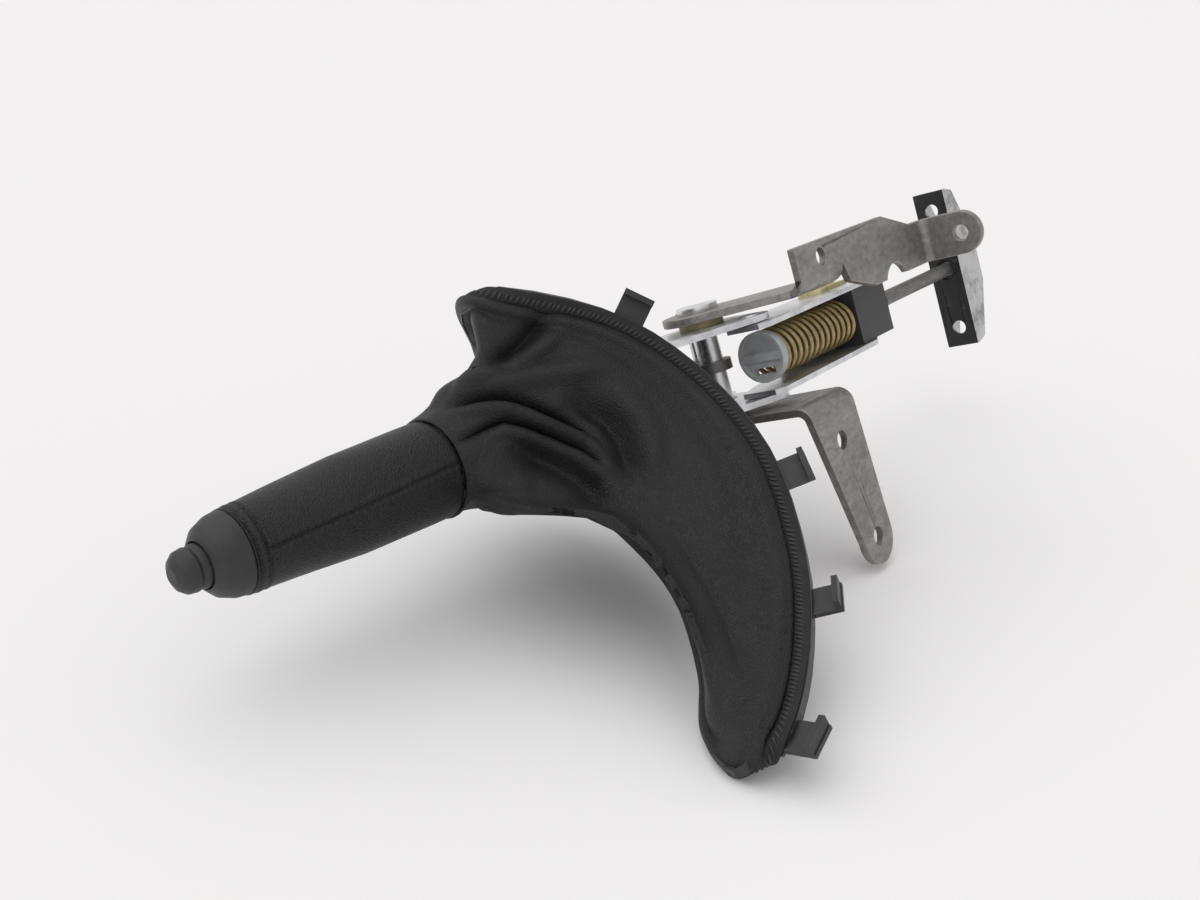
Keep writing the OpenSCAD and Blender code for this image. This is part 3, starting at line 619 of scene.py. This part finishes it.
# Folds that face the camera: points in the photograph in pixels, height in mm (below 0 is a crease),
# half-width in pixels
FOLDS = [
    ([(560, 312), (545, 318), (530, 333), (516, 349), (500, 362), (482, 372)], -7.0, 10),
    ([(574, 322), (557, 334), (540, 350), (518, 361), (483, 377), (446, 393)], 4.0, 7),
    ([(452, 398), (476, 389), (509, 383), (542, 376), (584, 370), (630, 366)], 4.0, 10),
    ([(430, 412), (455, 405), (480, 400), (506, 399),
      (530, 406), (556, 417), (585, 431), (612, 452)], -7.5, 6),
    ([(440, 420), (466, 411), (493, 407), (515, 409),
      (540, 420), (567, 432), (592, 444), (612, 462)], 4.0, 6),
    ([(446, 450), (466, 438), (486, 427), (504, 421),
      (526, 427), (551, 435), (580, 448), (614, 474)], -7.0, 5),
    ([(480, 438), (504, 429), (530, 436), (556, 447), (582, 459), (602, 475), (616, 498)], 4.5, 7),
    ([(500, 448), (525, 453), (552, 463), (578, 478), (600, 498), (616, 520)], -8.0, 17),
    ([(556, 398), (582, 404), (606, 417), (621, 438), (628, 462), (632, 492)], -8.5, 15),
    ([(590, 386), (618, 398), (640, 420), (650, 452), (655, 490)], 3.5, 14),
    ([(470, 470), (490, 482), (512, 490), (540, 492)], 3.0, 14),
    ([(652, 508), (676, 536), (704, 579), (724, 618), (738, 655), (748, 700)], -1.6, 7),
]
FOLD_TAPER = 0.3
FRONT_SPAN = (0.05, 0.3)

# Waves on the side that the photograph doesn't show: count round the boot, twist, phase, height in mm
HIDDEN_WAVES = [(7, 5.0, 0.0, 1.6), (11, -8.0, 1.0, 0.8)]
HIDDEN_COMES = (0.1, 0.6)
HIDDEN_GOES = (1.0, 0.85)

# A crest above the hem and a groove over it: share of the way to the neck, width, height in mm
CREST = (0.035, 0.022, 1.6)
GROOVE = (0.10, 0.03, -0.8)


def distance_to_line(points, line):
    """Distance from each point to a line of points, and the share of the way along it."""
    line = np.array(line, float)
    starts = lengths_along(line)
    best = np.full(points.shape[:-1], np.inf)
    share = np.zeros(points.shape[:-1])
    for a, b, start, end in zip(line[:-1], line[1:], starts[:-1], starts[1:]):
        length = end - start
        t = np.clip(((points - a) @ (b - a)) / length ** 2, 0.0, 1.0)
        distance = np.linalg.norm(points - (a + t[..., None] * (b - a)), axis=-1)
        nearer = distance < best
        best = np.where(nearer, distance, best)
        share = np.where(nearer, (start + t * length) / starts[-1], share)
    return best, share


def seen_folds(grid):
    """Heights of the folds that the photograph shows."""
    seen = pixels(place(grid))
    heights = np.zeros(grid.shape[:2])
    for line, height, width in FOLDS:
        distance, share = distance_to_line(seen, line)
        ends = smooth(0.0, FOLD_TAPER, share) * smooth(0.0, FOLD_TAPER, 1.0 - share)
        heights += height * hump(distance, 0.0, width) * ends
    return heights


def hidden_folds(u, turn):
    """Heights of the waves on the hidden side."""
    wave = sum(height * np.sin(count * turn + twist * u + phase)
               for count, twist, phase, height in HIDDEN_WAVES)
    return wave * smooth(*HIDDEN_COMES, u) * smooth(*HIDDEN_GOES, u)


def fold_heights(grid, normals):
    """How far each point moves along its normal for the folds."""
    to_camera = unit(np.array(CAMERA_AT) - place(grid))
    front = smooth(*FRONT_SPAN, np.sum((normals @ AXES) * to_camera, axis=-1))
    rows, columns, _ = grid.shape
    u = np.linspace(0.0, 1.0, rows)[:, None]
    turn = np.linspace(0.0, 2 * math.pi, columns, endpoint=False)[None, :]
    heights = front * seen_folds(grid) + (1 - front) * hidden_folds(u, turn)
    for at, width, height in (CREST, GROOVE):
        heights += height * hump(u, at, width)
    return heights


def add_boot():
    full = boot_surface()
    u = np.linspace(0.0, 1.0, BOOT_ROWS)[:, None]
    share = smooth(*PULL_COMES, u) * smooth(*PULL_GOES, u) * np.ones((BOOT_ROWS, BOOT_COLUMNS))
    grid = pull_inside(full, LOWER_OUTLINE, -1, share)
    slack = hump(np.linalg.norm(grid - full, axis=-1), 0.0, SLACK_LEFT)
    grid = pull_inside(grid, UPPER_OUTLINE, 1, share)
    normals = normals_of(grid)
    grid = grid + normals * (fold_heights(grid, normals) * slack)[..., None]
    boot = add_mesh("boot_leather_panel", grid, grid_faces(BOOT_ROWS, BOOT_COLUMNS), "boot_leather")
    wall = boot.modifiers.new("wall", "SOLIDIFY")
    wall.thickness = LEATHER_T * MM
    wall.offset = -1.0
    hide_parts("boot")
    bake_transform(boot)
    return boot


# Hem of the boot: a strip sewn round the outside of the frame, with a row of stitches over its edge

BAND_OUT = 0.5
BAND_BACK = 0.3
BAND_T = 0.9
BAND_LOW = 4.4
BAND_HIGH = -3.4
BAND_ROWS = 9
STITCH_PITCH = 2.3
STITCH_LEN = 4.6
STITCH_R = 0.72
STITCH_LEAN = 0.5
STITCH_AT = 0.3
STITCH_TAPER = 0.55
STITCH_SINK = 0.5
STITCH_FACES = 6
STITCH_RINGS = 5
STITCH_RIM_STEPS = 1400


def add_band():
    points, _, down, out = rim_frame(BOOT_COLUMNS)

    def row(share, off):
        return points + down * (BAND_LOW + (BAND_HIGH - BAND_LOW) * share) + out * (FRAME_T / 2 + off)

    shares = np.linspace(0.0, 1.0, BAND_ROWS)
    rows = [row(share, BAND_OUT + BAND_T * abs(math.sin(math.pi * share)) ** 0.5) for share in shares]
    rows += [row(1.0, BAND_BACK), row(0.0, BAND_BACK), rows[0]]
    band = add_mesh("boot_hem_band", rows, grid_faces(len(rows), BOOT_COLUMNS), "band")
    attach(band, "bracket")
    return band


def stitch_points(middle, axis, wide, out):
    """A bead along axis, whose ends are thinner and sink in."""
    points = []
    for w in np.linspace(-1.0, 1.0, STITCH_RINGS):
        ring = middle + axis * w * STITCH_LEN / 2 - out * STITCH_SINK * w ** 2
        r = STITCH_R * (1 - STITCH_TAPER * abs(w) ** 3)
        for f in range(STITCH_FACES):
            a = 2 * math.pi * f / STITCH_FACES
            points.append(ring + r * (math.cos(a) * wide + math.sin(a) * out))
    return points


def add_stitches():
    """Short threads that lean along the rim, each a closed bead."""
    points, way, down, out = rim_frame(STITCH_RIM_STEPS)
    lengths = lengths_along(points)
    bead = tube_faces(STITCH_RINGS, STITCH_FACES)
    vertices, faces = [], []
    for at in np.arange(0.0, lengths[-1], STITCH_PITCH):
        i = int(np.searchsorted(lengths, at)) % STITCH_RIM_STEPS
        axis = unit(down[i] + STITCH_LEAN * way[i])
        wide = unit(np.cross(axis, out[i]))
        middle = points[i] + out[i] * (FRAME_T / 2 + BAND_OUT + BAND_T) + down[i] * STITCH_AT
        faces += [tuple(len(vertices) + k for k in face) for face in bead]
        vertices += stitch_points(middle, axis, wide, out[i])
    stitches = add_mesh("boot_hem_stitches", vertices, faces, "thread")
    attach(stitches, "bracket")
    return stitches


# Grip sleeve: leather with a sewn seam along its underside and two rings of seam at its front

SLEEVE_COLUMNS = 192
SLEEVE_ROWS = 220
SLEEVE_T = 1.6
SLEEVE_PROFILE = [
    (HEM_S, SLEEVE_REAR_R - 1.3), (HEM_S + 0.7, SLEEVE_REAR_R - 0.5), (HEM_S + 2.5, SLEEVE_REAR_R),
    (SLEEVE_START, SLEEVE_REAR_R), (SLEEVE_START + 35.6, SLEEVE_REAR_R - 0.6),
    (SLEEVE_END - 12.0, SLEEVE_FRONT_R + 0.9), (SLEEVE_END, SLEEVE_FRONT_R),
]
SEAM_TURN = (math.radians(-86), math.radians(-95))
SEAM_DEEP = 0.9
SEAM_W = 0.6
RING_SEAMS = (SLEEVE_END - 1.6, SLEEVE_END - 5.6)
SEAM_FADE = 1.0

# Swollen leather beside the long seam and beside the rings: distance off, width, height, share of pucker
SEAM_WELT = (1.8, 1.3, 0.3, 0.35)
RING_WELT = (1.4, 0.9, 0.25, 0.3)
SEAM_PUCKER_PITCH = 3.4
RING_PUCKERS = 48

# Unevenness of the leather: count round the grip, twist along it, height in mm
UNEVEN_MIDDLE = (3, 5, 0.12)
UNEVEN_ALL = (5, -9, 0.1)


def welt(off, pucker, shape):
    """A swelling on both sides of a seam, puckered by its thread."""
    beside, width, height, share = shape
    return height * hump(np.abs(off), beside, width) * (1 + share * pucker)


def sleeve_radius(s, turn):
    at, size = zip(*SLEEVE_PROFILE)
    r = np.interp(s[:, 0], at, size)[:, None] * np.ones_like(turn)
    way = (s - SLEEVE_START) / SLEEVE_LEN
    seam_at = SEAM_TURN[0] + (SEAM_TURN[1] - SEAM_TURN[0]) * way
    off = (np.mod(turn - seam_at + math.pi, 2 * math.pi) - math.pi) * r
    pucker = np.sin(2 * math.pi * s / SEAM_PUCKER_PITCH)
    seam = welt(off, pucker, SEAM_WELT) - SEAM_DEEP * hump(off, 0.0, SEAM_W)
    r = r + seam * smooth(RING_SEAMS[1], RING_SEAMS[1] - SEAM_FADE, s)
    for ring in RING_SEAMS:
        r = r + welt(s - ring, np.sin(RING_PUCKERS * turn), RING_WELT) - SEAM_DEEP * hump(s, ring, SEAM_W)
    middle, everywhere = (height * np.sin(count * turn + twist * way)
                          for count, twist, height in (UNEVEN_MIDDLE, UNEVEN_ALL))
    return r + middle * np.sin(2 * math.pi * way) + everywhere


def add_sleeve():
    s = np.linspace(HEM_S, SLEEVE_END, SLEEVE_ROWS)[:, None]
    turn = np.linspace(-math.pi, math.pi, SLEEVE_COLUMNS, endpoint=False)[None, :]
    outside = grip_point(s, sleeve_radius(s, turn), turn)
    rear = grip_point(HEM_S, SLEEVE_REAR_R - SLEEVE_T, turn)
    front = grip_point(SLEEVE_END, SLEEVE_FRONT_R - SLEEVE_T, turn)
    grid = np.concatenate([rear, outside, front, rear])
    sleeve = add_mesh("grip_leather_sleeve", grid, grid_faces(len(grid), SLEEVE_COLUMNS), "grip_leather")
    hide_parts("grip_sleeve")
    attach(sleeve, "lever")


# Springs: round wires

SPRING_STEPS = 40
WIRE_FACES = 12
ROD_Z = -28.0
ADJUSTER_SPRING = {"r": 12.0, "wire": 1.25, "turns": 13, "ends": (-78.3, -5.3)}
BUTTON_SPRING = {"r": 8.7, "wire": 0.7, "turns": 6, "ends": (64.1, 80.9)}


def coil(name, spring, origin, axis):
    """A wire wound along axis from origin, between two ends."""
    low, high = spring["ends"]
    wire = spring["wire"]
    above = np.cross(axis, SIDEWAYS)
    count = spring["turns"] * SPRING_STEPS + 1
    k = np.arange(count)[:, None, None]
    a = 2 * math.pi * k / SPRING_STEPS
    x = low + wire + (high - low - 2 * wire) * k / (count - 1)
    b = (2 * math.pi * np.arange(WIRE_FACES) / WIRE_FACES)[None, :, None]
    q = spring["r"] - wire + wire * np.cos(b)
    grid = origin + (x + wire * np.sin(b)) * axis + q * (np.cos(a) * SIDEWAYS + np.sin(a) * above)
    piece = add_mesh(name + "_wire", grid, tube_faces(count, WIRE_FACES), "spring_wire")
    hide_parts(name)
    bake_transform(piece)


def add_springs():
    coil("adjuster_spring", ADJUSTER_SPRING, np.array([0.0, 0.0, ROD_Z]), FORWARD)
    coil("button_spring", BUTTON_SPRING, BEND_POINT, along(GRIP_RISE))


# Boss on the back of the adjuster block, where the rod comes out: x from the block's back, and radius

BLOCK_BACK = -112.6
BOSS_PROFILE = [(1.0, 4.3), (1.0, 8.6), (-5.0, 8.2), (-8.0, 7.4), (-9.4, 6.2), (-9.8, 5.2), (-9.8, 4.3)]
BOSS_COLUMNS = 48


def add_boss():
    a = np.linspace(0.0, 2 * math.pi, BOSS_COLUMNS, endpoint=False)
    rows = [np.stack([np.full_like(a, BLOCK_BACK + x), r * np.cos(a), ROD_Z + r * np.sin(a)], axis=1)
            for x, r in BOSS_PROFILE + BOSS_PROFILE[:1]]
    boss = add_mesh("adjuster_block_boss", rows, grid_faces(len(rows), BOSS_COLUMNS), "block_plastic")
    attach(boss, "pull_link")


# Stage

FLOOR_SIZE = 14.0
WORLD_LIGHT = 0.70
WORLD_COLOUR = (1.0, 0.99, 0.985)
PALE = (0.90, 0.893, 0.895)
SUNS = {
    "key": dict(way=(-0.25, 0.35, -1.0), strength=0.85, spread=80),
    "front": dict(way=(-1.0, -0.2, -0.9), strength=0.25, spread=60),
}


def add_floor(z):
    mesh = bpy.data.meshes.new("floor")
    half = FLOOR_SIZE / 2
    corners = [(-half, -half, z), (half, -half, z), (half, half, z), (-half, half, z)]
    mesh.from_pydata(corners, [], [(0, 1, 2, 3)])
    floor = bpy.data.objects.new("floor", mesh)
    bpy.context.scene.collection.objects.link(floor)
    s = Surface("floor", roughness=0.9)
    s.set("Base Color", (*PALE, 1.0))
    s.set("Specular IOR Level", 0.1)
    mesh.materials.append(s.material)
    floor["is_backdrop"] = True


def add_sun(name, way, strength, spread):
    """A distant soft light, so that the floor is lit alike everywhere."""
    data = bpy.data.lights.new(name, "SUN")
    data.energy = strength
    data.angle = math.radians(spread)
    light = bpy.data.objects.new(name, data)
    light.rotation_mode = "QUATERNION"
    light.rotation_quaternion = Vector(way).to_track_quat("-Z", "Y")
    bpy.context.scene.collection.objects.link(light)


def add_world():
    """An even light all round, with a pale background where the camera sees it."""
    world = bpy.data.worlds.new("studio")
    bpy.context.scene.world = world
    world.use_nodes = True
    tree = world.node_tree
    light = tree.nodes["Background"]
    light.inputs["Color"].default_value = (*WORLD_COLOUR, 1.0)
    light.inputs["Strength"].default_value = WORLD_LIGHT
    seen = tree.nodes.new("ShaderNodeBackground")
    seen.inputs["Color"].default_value = (*PALE, 1.0)
    mix = tree.nodes.new("ShaderNodeMixShader")
    tree.links.new(tree.nodes.new("ShaderNodeLightPath").outputs["Is Camera Ray"], mix.inputs["Fac"])
    tree.links.new(light.outputs["Background"], mix.inputs[1])
    tree.links.new(seen.outputs["Background"], mix.inputs[2])
    tree.links.new(mix.outputs["Shader"], tree.nodes["World Output"].inputs["Surface"])


# The scene

add_camera()
dress_nodes()
boot = add_boot()
add_band()
add_stitches()
add_sleeve()
add_springs()
add_boss()

bpy.context.view_layer.update()
add_floor(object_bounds()[0].z)
for sun_name, sun in SUNS.items():
    add_sun(sun_name, **sun)
add_world()
bpy.context.scene.view_settings.view_transform = "Standard"

bpy.context.view_layer.update()
